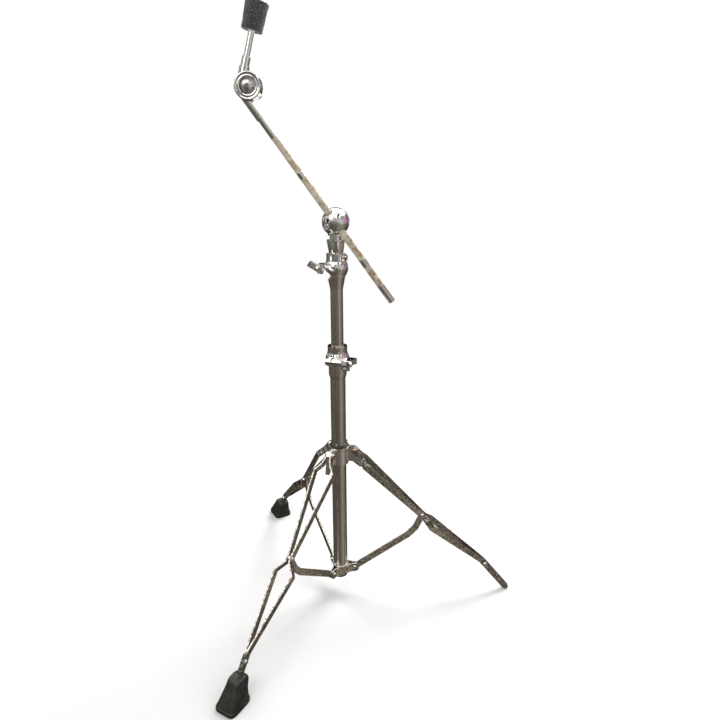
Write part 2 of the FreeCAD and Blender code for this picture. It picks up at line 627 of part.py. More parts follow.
def rubber_foot():
    """Boot with a wide flat sole, drawn in at the waist, over the two strips of a leg tip."""
    low = S.foot_sole_height
    top = S.foot_height
    tip = S.tip_out
    back = tip - S.foot_behind_tip
    front = tip + S.foot_beyond_tip
    side_view = plate([(back, 0), (front, 0), (front, low), (tip + 4, 27), (tip - 7, 42), (tip - 19, top),
                       (tip - 37, top - 8), (tip - 40.5, top - 14), (back - 1.5, 25), (back, low)], 60)
    half = S.foot_half_width
    waist = S.foot_waist_half
    front_view = plate([(-half, 0), (half, 0), (half, low), (waist + 3.2, 25), (waist, 37), (waist + 1, 45),
                        (waist - 4, top), (4 - waist, top), (-waist - 1, 45), (-waist, 37), (-waist - 3.2, 25),
                        (-half, low)], 800, "YZ_Plane")
    fit = S.foot_fit
    pocket = band([lower_jog, K, booted_tip], S.strip_width + fit * 2,
                  (tip_bow + S.strip_thick / 2 + fit) * 2, "XZ")
    return cut(common(side_view, front_view), pocket)


subpart("front_foot", turned_about_mast(group(rubber_foot()), LEG_FACING["front_leg"]))
subpart("rear_foot", turned_about_mast(group(rubber_foot()), LEG_FACING["rear_leg"]))


# ---------------------------------------------------------------- boom tilter

ball_up = neck_bottom + S.ball_above_neck
arm_radius = S.arm_od / 2
liner_radius = arm_radius + S.sliding_gap + S.liner_wall
eye_radius = liner_radius + S.fixed_gap + S.eye_wall
arm_offset = eye_radius + S.ball_split + S.eye_to_split
ball_radius = arm_offset + eye_radius + S.ball_front_wall
ball_at = (0, 0, ball_up)
lean = -S.boom_tilt


def in_arm_frame(obj):
    """Arm frame: origin on the arm axis beside the ball centre, +Z along the boom arm."""
    return place(group(obj), (0, -arm_offset, ball_up), ACROSS, lean)


def half_space(from_y, to_y):
    reach = ball_radius + 4.5
    return box(reach * 2, to_y - from_y, reach * 2, (-reach, from_y, ball_up - reach))


lip_low = neck_bottom + S.neck_cone_height
groove_low = lip_low + S.neck_lip
collar_low = groove_low + S.neck_groove
socket = upper_radius + S.fixed_gap
neck = lathe([(0, neck_bottom + S.neck_socket), (socket, neck_bottom + S.neck_socket),
              (socket, neck_bottom), (socket + S.neck_wall, neck_bottom),
              (S.neck_lip_od / 2, lip_low), (S.neck_lip_od / 2, groove_low),
              (S.neck_groove_od / 2, groove_low), (S.neck_groove_od / 2, collar_low),
              (S.neck_collar_od / 2, collar_low), (S.neck_collar_od / 2, collar_low + S.neck_collar),
              (0, collar_low + S.neck_collar)])
flutes = []
for i in range(8):
    flute = cylinder(S.flute_radius, S.neck_cone_height + 1.5, (S.flute_reach, 0, neck_bottom - 2))
    flutes.append(turned_about_mast(group(flute), 22.5 + 45 * i))
neck = cut(neck, *flutes)
rear_ball = common(sphere(ball_radius, ball_at), half_space(S.ball_split, ball_radius - 1))
cup = cut(neck, sphere(ball_radius + S.ball_gap, ball_at))
core = common(neck, half_space(S.ball_split, ball_radius))
arm_path = in_arm_frame(cylinder(arm_radius + S.arm_clearance, 200, (0, 0, -100)))
eye_hole = cylinder(S.eye_bolt_radius + 0.1, 60, (0, -30, ball_up), "y")
subpart("tilter_yoke", cut(fuse(cup, core, rear_ball), eye_hole, arm_path))

subpart("tilt_washer", tube(S.tilt_washer_radius, S.eye_bolt_radius + 0.4, S.ball_split * 2 - 0.1,
                            (0, 0.05 - S.ball_split, ball_up), "y"))

front_ball = common(sphere(ball_radius, ball_at), half_space(-ball_radius - 1, -S.ball_split))
arm_bore = in_arm_frame(cylinder(liner_radius + S.fixed_gap, 80, (0, 0, -40)))
eye_room = in_arm_frame(cylinder(eye_radius + 0.1, S.eye_width + 0.2,
                                 (0, 0, -S.eye_width / 2 - 0.1)))
key_at = (-S.key_screw_out, ball_up - S.key_screw_down)
key_room = cylinder(S.key_screw_radius + S.fixed_gap, 30, (key_at[0], -16 - 30, key_at[1]), "y")
subpart("arm_holder", cut(front_ball, arm_bore, eye_room, key_room, eye_hole))

key_screw = cut(cylinder(S.key_screw_radius, S.key_screw_depth,
                         (key_at[0], -16.05 - S.key_screw_depth, key_at[1]), "y"),
                cylinder(S.key_socket_radius, 5, (key_at[0], -17 - S.key_screw_depth, key_at[1]), "y"))
subpart("holder_key_screw", key_screw)

badge_half = (S.badge_length - S.badge_width) / 2
badge_round = S.badge_width / 2
badge_bar = place(group(fuse(box(S.badge_width, 20, badge_half * 2, (-badge_round, -10, -badge_half)),
                             cylinder(badge_round, 20, (0, -10, -badge_half), "y"),
                             cylinder(badge_round, 20, (0, -10, badge_half), "y"))),
                  (0, 3.5 - ball_radius, ball_up), ACROSS, lean)
badge_skin = cut(sphere(ball_radius + S.badge_proud, ball_at),
                 sphere(ball_radius + S.fixed_gap, ball_at))
rib_skin = cut(sphere(ball_radius + S.badge_proud + S.badge_rib, ball_at),
               sphere(ball_radius + S.badge_proud / 2, ball_at))
rib_bars = [box(1.6, 20, S.badge_width * 0.55, (-badge_half + 5.2 * i - 0.8, -10, -S.badge_width * 0.275))
            for i in range(6)]
ribs = place(group(*rib_bars), (0, 3.5 - ball_radius, ball_up), ACROSS, lean - 90)
subpart("badge_plate", fuse(common(badge_skin, badge_bar), common(rib_skin, ribs)))

liner_front = arm_offset + liner_radius
liner_half = square_root((ball_radius - 0.2) * (ball_radius - 0.2) - liner_front * liner_front)
subpart("arm_liner", in_arm_frame(tube(liner_radius, arm_radius + S.sliding_gap, liner_half * 2,
                                       (0, 0, -liner_half))))
eye = tube(eye_radius, liner_radius + S.fixed_gap, S.eye_width, (0, 0, -S.eye_width / 2))
shank_start = liner_radius + 1.5
eye_shank = cylinder(S.eye_bolt_radius, S.eye_bolt_length + arm_offset - shank_start,
                     (0, shank_start, 0), "y")
subpart("eye_bolt", in_arm_frame(fuse(eye, eye_shank)))
boom_nut = wing_nut(S.eye_bolt_radius + S.fixed_gap, ball_radius - 0.8, S.wing_hub_length,
                    S.wing_span)
subpart("boom_wing_nut", place(group(boom_nut), ball_at, ACROSS, 60))


# ---------------------------------------------------------------- boom arm and cymbal tilter

arm_bar = cylinder(arm_radius, S.arm_above + S.arm_below, (0, 0, -S.arm_below))
arm_hollow = cylinder(arm_radius - S.arm_wall, S.arm_above + S.arm_below + 2, (0, 0, -S.arm_below - 1))
subpart("boom_arm", in_arm_frame(cut(arm_bar, arm_hollow)))

head_at = (S.head_offset, S.head_along)
ferrule_start = S.arm_above - S.ferrule_length
thick = S.head_half_thick
split = S.head_split
sweep_room = S.head_radius + 0.6


def head_disc(from_y, to_y, radius):
    return cylinder(radius, to_y - from_y, (head_at[0], from_y, head_at[1]), "y")


ferrule = cut(cylinder(arm_radius + S.ferrule_wall, S.head_along - ferrule_start, (0, 0, ferrule_start)),
              head_disc(-20, split, sweep_room))
rear_disc = head_disc(split, thick, S.head_radius)
arm_socket = cylinder(arm_radius + S.fixed_gap, S.ferrule_length + 0.6, (0, 0, ferrule_start - 0.3))
head_hole = head_disc(-40, 40, S.head_bolt_radius + S.fixed_gap)
screw_at = ferrule_start + 8
screw_room = cylinder(2.0 + S.fixed_gap, 10, (0, -(arm_radius + 6.65), screw_at), "y")
subpart("tilter_lower", in_arm_frame(cut(fuse(ferrule, rear_disc), arm_socket, head_hole, screw_room)))
subpart("ferrule_set_screw", in_arm_frame(
    cut(cylinder(2.0, 1.6, (0, -(arm_radius + 1.75), screw_at), "y"),
        cylinder(0.9, 1, (0, -(arm_radius + 2.25), screw_at), "y"))))
subpart("head_washer", in_arm_frame(cut(head_disc(0.05 - split, split - 0.05, S.head_radius - 3),
                                        head_disc(-20, 20, S.head_bolt_radius + 0.4))))
recess_floor = S.head_recess - thick
subpart("head_bolt", in_arm_frame(head_disc(recess_floor - 3, thick + S.wing_hub_length - 4,
                                            S.head_bolt_radius)))
cap = fuse(head_disc(recess_floor - S.cap_nut, recess_floor - 0.05, S.cap_nut_radius),
           cone(S.cap_nut_radius * 0.45, S.cap_nut_radius * 0.86, 3,
                (head_at[0], recess_floor - S.cap_nut - 3, head_at[1]), "y"))
subpart("head_cap_nut", in_arm_frame(cut(cap, head_disc(recess_floor - 3.1, 0,
                                                        S.head_bolt_radius + S.fixed_gap))))
head_nut = wing_nut(S.head_bolt_radius + S.fixed_gap, thick + 0.1, S.wing_hub_length,
                    S.head_wing_span)
subpart("head_wing_nut", in_arm_frame(place(head_nut, (head_at[0], 0, head_at[1]), ACROSS, 80)))

head_x = S.head_offset * cosine(lean) + S.head_along * sine(lean)
head_z = S.head_along * cosine(lean) - S.head_offset * sine(lean)


def in_rod_frame(obj):
    """Rod frame: origin at the cymbal tilter's centre, +Z along the cymbal rod."""
    return place(group(obj), (head_x, -arm_offset, ball_up + head_z), ACROSS, S.rod_lean)


def rod_bar(radius, start, length):
    return cylinder(radius, length, (-S.stem_offset, 0, start))


front_disc = cylinder(S.head_radius, thick - split, (0, -thick, 0), "y")
recess = cut(cylinder(S.head_recess_radius, S.head_recess + 1, (0, -thick - 1, 0), "y"),
             cylinder(S.cap_nut_radius + 2.2, S.head_recess + 1, (0, -thick - 1, 0), "y"))
nut_seat = cylinder(S.cap_nut_radius + 0.6, S.head_recess + 1, (0, -thick - 1, 0), "y")
stem_room = cylinder(sweep_room, 20, (0, -split, 0), "y")
rod_hole = cylinder(S.head_bolt_radius + S.fixed_gap, 40, (0, -20, 0), "y")
step_start = S.stem_length
rod_start = step_start + S.stem_step_length
stem = cut(fuse(rod_bar(S.stem_od / 2, 0, step_start),
                rod_bar(S.stem_step_od / 2, step_start, S.stem_step_length)), stem_room)
rod_socket = rod_bar(S.rod_od / 2 + S.fixed_gap, rod_start - 12, 13)
subpart("tilter_upper", in_rod_frame(cut(fuse(front_disc, stem), recess, nut_seat, rod_hole,
                                         rod_socket)))
thread_start = rod_start + S.rod_length
sleeve_radius = S.thread_od / 2 + S.sliding_gap + S.sleeve_wall
subpart("cymbal_rod", in_rod_frame(fuse(rod_bar(S.rod_od / 2, rod_start - 11.9, S.rod_length + 11.9),
                                        rod_bar(S.thread_od / 2, thread_start, S.thread_length))))
sleeve = cut(rod_bar(sleeve_radius, thread_start + 0.1, S.sleeve_length),
             rod_bar(S.thread_od / 2 + S.sliding_gap, thread_start - 1, S.sleeve_length + 3))
subpart("cymbal_sleeve", in_rod_frame(sleeve))


def felt(start, low_od, high_od):
    wool = cone(low_od / 2, high_od / 2, S.felt_thick - 0.1, (-S.stem_offset, 0, start))
    return cut(wool, rod_bar(sleeve_radius + S.fixed_gap, start - 1, S.felt_thick + 2))


subpart("lower_felt", in_rod_frame(felt(S.felt_start, S.felt_bottom_od, S.felt_middle_od)))
subpart("upper_felt", in_rod_frame(felt(S.felt_start + S.felt_thick, S.felt_middle_od,
                                        S.felt_top_od)))


# ---------------------------------------------------------------- check and write

doc.recompute()
os.makedirs("parts", exist_ok=True)
for obj in SUBPARTS:
    bad_state = "Invalid" in obj.State or "Error" in obj.State
    if bad_state or obj.Shape.isNull() or not obj.Shape.isValid():
        raise RuntimeError(f"{obj.Label} did not build: {obj.State}")
for obj in SUBPARTS:
    obj.Shape.exportStep(f"parts/{obj.Label}.step")
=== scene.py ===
"""Looks for the cymbal boom stand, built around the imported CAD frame. Metres throughout."""
import json
import math

import bmesh
import bpy
from mathutils import Matrix, Quaternion, Vector, noise


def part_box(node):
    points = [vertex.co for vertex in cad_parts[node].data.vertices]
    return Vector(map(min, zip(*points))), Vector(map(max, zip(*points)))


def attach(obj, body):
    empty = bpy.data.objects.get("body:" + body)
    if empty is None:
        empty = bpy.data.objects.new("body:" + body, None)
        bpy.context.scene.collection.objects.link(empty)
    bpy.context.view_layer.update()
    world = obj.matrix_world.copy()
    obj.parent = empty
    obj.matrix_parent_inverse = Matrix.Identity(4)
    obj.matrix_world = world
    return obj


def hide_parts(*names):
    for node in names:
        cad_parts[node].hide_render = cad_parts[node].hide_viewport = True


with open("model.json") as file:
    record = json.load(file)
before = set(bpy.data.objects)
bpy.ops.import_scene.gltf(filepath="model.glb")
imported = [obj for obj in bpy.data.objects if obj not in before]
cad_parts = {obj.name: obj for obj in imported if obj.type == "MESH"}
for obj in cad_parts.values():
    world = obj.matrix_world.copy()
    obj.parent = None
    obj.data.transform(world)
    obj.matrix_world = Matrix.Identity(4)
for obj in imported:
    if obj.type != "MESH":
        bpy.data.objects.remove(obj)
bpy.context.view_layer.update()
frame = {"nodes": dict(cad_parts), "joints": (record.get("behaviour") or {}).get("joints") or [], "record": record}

NODES = frame["nodes"]
JOINTS = {joint["name"]: joint for joint in frame["joints"]}
TAU = math.tau


# ------------------------------------------------------------------ camera, light and floor

CAMERA_PLACE = (0.0513, -1.0876, 0.8689)
SENSOR_WIDTH = 36.0     # mm
LENS = 29.36            # mm
PITCH = -17.45          # degrees above the horizon
HEADING = 90.41         # degrees from +X towards +Y
ROLL = 0.14             # degrees


def add_camera():
    """A view from 1.1 m in front of the mast and 0.87 m up, looking about 17 degrees down."""
    data = bpy.data.cameras.new("camera")
    data.sensor_width = SENSOR_WIDTH
    data.lens = LENS
    data.clip_start = 0.01
    camera = bpy.data.objects.new("camera", data)
    bpy.context.collection.objects.link(camera)
    camera.location = CAMERA_PLACE
    pitch = math.radians(PITCH)
    heading = math.radians(HEADING)
    forward = Vector((math.cos(pitch) * math.cos(heading), math.cos(pitch) * math.sin(heading),
                      math.sin(pitch)))
    roll = Quaternion(forward, math.radians(ROLL))
    camera.rotation_mode = "QUATERNION"
    camera.rotation_quaternion = roll @ forward.to_track_quat("-Z", "Y")
    bpy.context.scene.camera = camera


def add_area(name, location, target, size, power, colour):
    """Soft rectangular light that points at a target."""
    data = bpy.data.lights.new(name, "AREA")
    data.shape = "RECTANGLE"
    data.size, data.size_y = size
    data.energy = power
    data.color = colour
    lamp = bpy.data.objects.new(name, data)
    bpy.context.collection.objects.link(lamp)
    lamp.location = location
    lamp.rotation_mode = "QUATERNION"
    lamp.rotation_quaternion = (Vector(target) - Vector(location)).to_track_quat("-Z", "Y")


class Graph:
    """Short way to add and link shader nodes."""

    def __init__(self, tree):
        self.tree = tree
        tree.nodes.clear()

    def add(self, kind, inputs=None, **settings):
        node = self.tree.nodes.new(kind)
        for key, value in settings.items():
            setattr(node, key, value)
        for key, value in (inputs or {}).items():
            socket = node.inputs[key]
            if isinstance(value, bpy.types.NodeSocket):
                self.tree.links.new(value, socket)
            else:
                socket.default_value = value
        return node

    def ramp(self, factor, stops, ease="LINEAR"):
        node = self.add("ShaderNodeValToRGB", {"Fac": factor})
        ramp = node.color_ramp
        ramp.interpolation = ease
        while len(ramp.elements) < len(stops):
            ramp.elements.new(0.5)
        for element, (place, colour) in zip(ramp.elements, stops):
            element.position = place
            element.color = colour if len(colour) == 4 else (*colour, 1.0)
        return node.outputs["Color"]

    def mix(self, factor, one, two, blend="MIX"):
        node = self.add("ShaderNodeMix", data_type="RGBA", blend_type=blend)
        for socket, value in ((node.inputs[0], factor), (node.inputs[6], one), (node.inputs[7], two)):
            if isinstance(value, bpy.types.NodeSocket):
                self.tree.links.new(value, socket)
            elif socket == node.inputs[0]:
                socket.default_value = value
            else:
                socket.default_value = (*value, 1.0)
        return node.outputs[2]

    def math(self, operation, one, two=0.0, clamp=False):
        node = self.add("ShaderNodeMath", {0: one, 1: two}, operation=operation, use_clamp=clamp)
        return node.outputs[0]

    def noise(self, coordinates, scale, detail=4.0, rough=0.55):
        return self.add("ShaderNodeTexNoise", {"Vector": coordinates, "Scale": scale,
                                               "Detail": detail, "Roughness": rough}).outputs["Fac"]

    def bump(self, height, strength, distance, normal=None):
        inputs = {"Height": height, "Strength": strength, "Distance": distance}
        if normal is not None:
            inputs["Normal"] = normal
        return self.add("ShaderNodeBump", inputs).outputs["Normal"]


# Tints of the floor's painted reflection, which only reflection rays see
REFLECTED_FLOOR_TINT = (1.0, 0.885, 0.72)
REFLECTED_FAR_TINT = (1.0, 0.96, 0.90)


def room_bands(graph, turn, pale, dark, dim, stripe, tint):
    """Brightness of the floor's painted reflection by direction round the mast, where 0.5 faces the viewer.

    An invented room: pale straight behind the mast, dark on either side of that, dim round the
    front, and one lighter stripe ahead to the right.
    """
    stops = ((0.0, pale), (0.12, dark), (0.25, dim), (0.55, dim), (0.66, stripe), (0.77, dim),
             (0.88, dark), (1.0, pale))
    return graph.ramp(turn, [(place, tuple(value * channel for channel in tint))
                             for place, value in stops])


def room_colour(graph, direction):
    """What polished metal sees above the horizon: a pale room with darker shapes standing in it."""
    parts = graph.add("ShaderNodeSeparateXYZ", {0: direction})
    height = parts.outputs["Z"]
    sky = graph.ramp(height, [(0.0, (0.42, 0.40, 0.37)), (0.06, (0.66, 0.64, 0.61)),
                              (0.16, (0.74, 0.73, 0.71)), (0.24, (0.50, 0.49, 0.47)),
                              (0.46, (0.62, 0.61, 0.60)), (0.56, (1.3, 1.3, 1.28)),
                              (0.72, (2.0, 2.0, 1.98))])
    stretched = graph.add("ShaderNodeMapping", {"Vector": direction, "Scale": (1.0, 1.0, 0.7)})
    shapes = graph.ramp(graph.noise(stretched.outputs[0], 3.0, 1.6, 0.45),
                        [(0.43, (0.03, 0.028, 0.024)), (0.475, (0.22, 0.21, 0.19)), (0.52, (1, 1, 1)),
                         (0.60, (1, 1, 1)), (0.64, (0.35, 0.34, 0.32)), (0.70, (1.1, 1.1, 1.1))])
    low_only = graph.ramp(height, [(0.52, (1, 1, 1)), (0.66, (0, 0, 0))])
    this_side = graph.ramp(graph.math("SUBTRACT", 0.5, parts.outputs["Y"]),
                           [(0.45, (0, 0, 0)), (0.70, (1, 1, 1))])
    cluttered = graph.math("MAXIMUM", low_only, this_side)
    sky = graph.mix(cluttered, sky, graph.mix(1.0, sky, shapes, "MULTIPLY"))
    lamp = graph.add("ShaderNodeVectorMath", {0: direction, 1: (0.985, 0.10, 0.13)},
                     operation="DOT_PRODUCT").outputs["Value"]
    glow = graph.ramp(lamp, [(0.95, (0, 0, 0)), (0.988, (1, 1, 1))])
    return graph.mix(glow, sky, (0.70, 0.13, 0.58))


def add_world():
    world = bpy.data.worlds.new("studio")
    bpy.context.scene.world = world
    world.use_nodes = True
    graph = Graph(world.node_tree)
    direction = graph.add("ShaderNodeTexCoord").outputs["Generated"]
    path = graph.add("ShaderNodeLightPath")
    plain = graph.mix(path.outputs["Is Camera Ray"], (0.72, 0.72, 0.72), (1.0, 1.0, 1.0))
    colour = graph.mix(path.outputs["Is Glossy Ray"], plain, room_colour(graph, direction))
    background = graph.add("ShaderNodeBackground", {"Color": colour, "Strength": 1.0})
    graph.add("ShaderNodeOutputWorld", {"Surface": background.outputs[0]})


def add_floor():
    """White floor that fades into the background; polished metal sees instead a glowing dim carpet, a painted
    reflection of a room that is not there.
    """
    mesh = bpy.data.meshes.new("floor")
    reach = 14.0
    mesh.from_pydata([(-reach, -reach, 0), (reach, -reach, 0), (reach, reach, 0), (-reach, reach, 0)], [],
                     [(0, 1, 2, 3)])
    floor = bpy.data.objects.new("floor", mesh)
    bpy.context.collection.objects.link(floor)
    material = bpy.data.materials.new("floor_white")
    material.use_nodes = True
    graph = Graph(material.node_tree)
    position = graph.add("ShaderNodeNewGeometry").outputs["Position"]
    path = graph.add("ShaderNodeLightPath")
    distance = graph.add("ShaderNodeVectorMath", {0: position}, operation="LENGTH").outputs["Value"]
    pale = graph.add("ShaderNodeBsdfDiffuse", {"Color": (0.90, 0.90, 0.90, 1.0)})
    white = graph.add("ShaderNodeEmission", {"Color": (1.0, 1.0, 1.0, 1.0), "Strength": 1.0})
    fade_share = graph.math("MULTIPLY", distance, 0.8)
    fade = graph.ramp(fade_share, [(0.34, (0, 0, 0)), (0.80, (1, 1, 1))], "EASE")
    seen = graph.add("ShaderNodeMixShader", {0: fade, 1: pale.outputs[0], 2: white.outputs[0]})
    parts = graph.add("ShaderNodeSeparateXYZ", {0: position})
    angle = graph.math("ARCTAN2", parts.outputs["X"], graph.math("MULTIPLY", parts.outputs["Y"], -1.0))
    turn = graph.math("ADD", graph.math("DIVIDE", angle, TAU), 0.5)
    # The floor's painted reflection, shown only to reflection rays as glow: bands round the mast, streaks,
    # brighter further out, and patchy noise
    drift = graph.math("MULTIPLY", graph.math("SUBTRACT", graph.noise(position, 0.9, 3.0), 0.5), 0.10)
    where = graph.math("ADD", turn, drift)
    near = room_bands(graph, where, pale=0.3, dark=0.06, dim=0.13, stripe=0.3, tint=REFLECTED_FLOOR_TINT)
    beyond = room_bands(graph, where, pale=0.9, dark=0.05, dim=0.15, stripe=0.4, tint=REFLECTED_FAR_TINT)
    reach_share = graph.math("MULTIPLY", distance, 0.1)
    bands = graph.mix(graph.ramp(reach_share, [(0.33, (0, 0, 0)), (0.50, (1, 1, 1))]), near, beyond)
    heading = graph.add("ShaderNodeVectorMath", {0: position}, operation="NORMALIZE").outputs["Vector"]
    streaks = graph.ramp(graph.noise(heading, 7.0, 3.0), [(0.38, (0.5, 0.5, 0.5)), (0.50, (1, 1, 1)),
                                                          (0.62, (1.5, 1.5, 1.5))])
    bands = graph.mix(1.0, bands, streaks, "MULTIPLY")
    far = graph.ramp(reach_share, [(0.0, (0.75, 0.75, 0.75)), (0.25, (1.0, 1.0, 1.0)),
                                   (0.60, (1.3, 1.3, 1.3)), (1.0, (1.9, 1.9, 1.95))])
    # Patchy brightness in the painted reflection, not wear on the floor
    worn = graph.ramp(graph.noise(position, 2.6, 4.0), [(0.35, (0.78, 0.78, 0.78)), (0.65, (1.2, 1.2, 1.2))])
    painted_room_reflection = graph.mix(1.0, graph.mix(1.0, bands, far, "MULTIPLY"), worn, "MULTIPLY")
    glow = graph.add("ShaderNodeEmission", {"Color": painted_room_reflection, "Strength": 1.0})
    blend = graph.add("ShaderNodeMixShader", {0: path.outputs["Is Glossy Ray"], 1: seen.outputs[0],
                                              2: glow.outputs[0]})
    graph.add("ShaderNodeOutputMaterial", {"Surface": blend.outputs[0]})
    mesh.materials.append(material)


add_camera()
add_world()
add_floor()
add_area("key_light", location=(1.0, 1.2, 2.3), target=(0, 0, 0.2), size=(1.0, 1.0), power=42.0,
         colour=(1.0, 0.99, 0.97))
add_area("front_light", location=(-1.2, -1.6, 1.9), target=(0, 0, 0.5), size=(1.2, 1.2), power=10.0,
         colour=(1.0, 0.98, 0.95))
bpy.context.scene.view_settings.view_transform = "Standard"


# ------------------------------------------------------------------ materials

def new_graph(name):
    """A new material, and the graph that fills it."""
    material = bpy.data.materials.new(name)
    material.use_nodes = True
    return material, Graph(material.node_tree)


def finish_surface(graph, inputs):
    """End a material's graph in one Principled shader."""
    shader = graph.add("ShaderNodeBsdfPrincipled", inputs)
    graph.add("ShaderNodeOutputMaterial", {"Surface": shader.outputs[0]})


def aged_chrome(name, tint, rough, haze, pits, rust, wave, mottle):
    """Plated steel: slight waviness, greasy haze, pits, and rust specks where plating failed."""
    material, graph = new_graph(name)
    here = graph.add("ShaderNodeTexCoord").outputs["Object"]
    cloudy = graph.noise(here, 34.0, 5.0)
    grime = graph.ramp(cloudy, [(0.42, (0, 0, 0)), (0.68, (1, 1, 1))])
    cells = graph.add("ShaderNodeTexVoronoi", {"Vector": here, "Scale": 520.0, "Randomness": 1.0})
    pit_mask = graph.ramp(cells.outputs["Distance"], [(0.10, (1, 1, 1)), (0.26, (0, 0, 0))])
    where = graph.ramp(graph.noise(here, 60.0, 3.0), [(0.46, (0, 0, 0)), (0.58, (1, 1, 1))])
    pitted = graph.math("MULTIPLY", graph.math("MULTIPLY", pit_mask, where), pits)
    spots = graph.ramp(graph.noise(here, 95.0, 6.0, 0.75),
                       [(0.63 - 0.07 * rust, (0, 0, 0)), (0.70 - 0.06 * rust, (1, 1, 1))])
    rusty = graph.math("MULTIPLY", spots, min(1.0, rust))
    dull = tuple(channel * 0.72 for channel in tint)
    colour = graph.mix(graph.math("MULTIPLY", grime, haze * 2.0), tint, dull)
    if mottle:
        flakes = graph.ramp(graph.noise(here, 250.0, 5.0, 0.75), [(0.42, (1, 1, 1)), (0.55, (0, 0, 0))])
        colour = graph.mix(graph.math("MULTIPLY", flakes, mottle), colour, (0.13, 0.11, 0.08))
    colour = graph.mix(pitted, colour, (0.07, 0.055, 0.04))
    colour = graph.mix(rusty, colour, (0.34, 0.05, 0.035))
    roughness = graph.math("ADD", graph.math("MULTIPLY", grime, haze), rough)
    roughness = graph.math("ADD", roughness, graph.math("MULTIPLY", pitted, 0.4))
    roughness = graph.math("ADD", roughness, graph.math("MULTIPLY", rusty, 0.6), True)
    metal = graph.math("SUBTRACT", 1.0, graph.math("MULTIPLY", rusty, 0.85))
    ripple = graph.bump(graph.noise(here, 55.0, 2.0), wave, 0.0006)
    scratches = graph.bump(graph.noise(here, 900.0 - 520.0 * mottle, 2.0), 0.05 + 0.9 * mottle,
                           0.0002 + 0.0003 * mottle, ripple)
    normal = graph.bump(graph.math("SUBTRACT", 1.0, graph.math("ADD", pitted, rusty)), 0.5, 0.0004,
                        scratches)
    finish_surface(graph, {"Base Color": colour, "Metallic": metal, "Roughness": roughness,
                           "Normal": normal})
    return material


def worn_rubber(name, dark, scuffed):
    """Moulded rubber with dusty scuffs and a fine grain."""
    material, graph = new_graph(name)
    here = graph.add("ShaderNodeTexCoord").outputs["Object"]
    dust = graph.ramp(graph.noise(here, 70.0, 6.0, 0.65), [(0.45, (0, 0, 0)), (0.75, (1, 1, 1))])
    colour = graph.mix(graph.math("MULTIPLY", dust, 0.55), dark, scuffed)
    roughness = graph.math("ADD", 0.42, graph.math("MULTIPLY", dust, 0.35))
    grain = graph.bump(graph.noise(here, 1500.0, 3.0), 0.35, 0.0003)
    normal = graph.bump(graph.noise(here, 160.0, 4.0), 0.25, 0.0008, grain)
    finish_surface(graph, {"Base Color": colour, "Roughness": roughness, "Normal": normal})
    return material


def wool_felt(name, dark, fleck):
    """Pressed wool: matted dark fibres with pale flecks."""
    material, graph = new_graph(name)
    here = graph.add("ShaderNodeTexCoord").outputs["Object"]
    matted = graph.noise(here, 260.0, 8.0, 0.75)
    strands = graph.add("ShaderNodeTexWave", {"Vector": here, "Scale": 120.0, "Distortion": 18.0,
                                              "Detail": 4.0, "Detail Scale": 3.0}).outputs["Fac"]
    light = graph.ramp(graph.math("MULTIPLY", matted, strands), [(0.38, (0, 0, 0)), (0.62, (1, 1, 1))])
    shade = graph.ramp(graph.noise(here, 45.0, 4.0), [(0.35, (0.55, 0.55, 0.55)), (0.65, (1, 1, 1))])
    colour = graph.mix(light, dark, fleck)
    colour = graph.mix(0.8, colour, shade, "MULTIPLY")
    normal = graph.bump(matted, 0.8, 0.0012, graph.bump(strands, 0.4, 0.0006))
    finish_surface(graph, {"Base Color": colour, "Roughness": 0.96, "Normal": normal,
                           "Sheen Weight": 0.35, "Sheen Roughness": 0.5})
    return material


def satin_plastic(name, colour, rough):
    """Plain moulded nylon, slightly cloudy."""
    material, graph = new_graph(name)
    here = graph.add("ShaderNodeTexCoord").outputs["Object"]
    cloudy = graph.noise(here, 120.0, 4.0)
    worn = tuple(min(1.0, channel * 1.5 + 0.01) for channel in colour)
    shade = graph.mix(graph.ramp(cloudy, [(0.4, (0, 0, 0)), (0.8, (1, 1, 1))]), colour, worn)
    roughness = graph.math("ADD", rough, graph.math("MULTIPLY", cloudy, 0.2))
    normal = graph.bump(graph.noise(here, 700.0, 3.0), 0.2, 0.0002)
    finish_surface(graph, {"Base Color": shade, "Roughness": roughness, "Normal": normal})
    return material


def axis_frame(origin, axis):
    """Matrix that takes +Z to a joint's axis and the origin to a point on it."""
    axis = Vector(axis).normalized()
    across = Vector((0, 1, 0))
    side = across.cross(axis).normalized()
    turn = Matrix((side, across, axis)).transposed().to_4x4()
    return Matrix.Translation(Vector(origin)) @ turn


ARM = JOINTS["boom_arm_turn"]
ARM_FRAME = axis_frame(ARM["pos_m"], ARM["axis"])
ARM_LOW, ARM_HIGH = -0.1775, 0.2395
PLAIN_BANDS = ((ARM_LOW, -0.1399), (-0.0983, -0.0823), (0.0918, 0.1043), (0.1734, ARM_HIGH))
RAMP_PER_METRE = 2.0    # fits the arm's length into a ramp's 0 to 1
RAMP_AT_BALL = 0.4


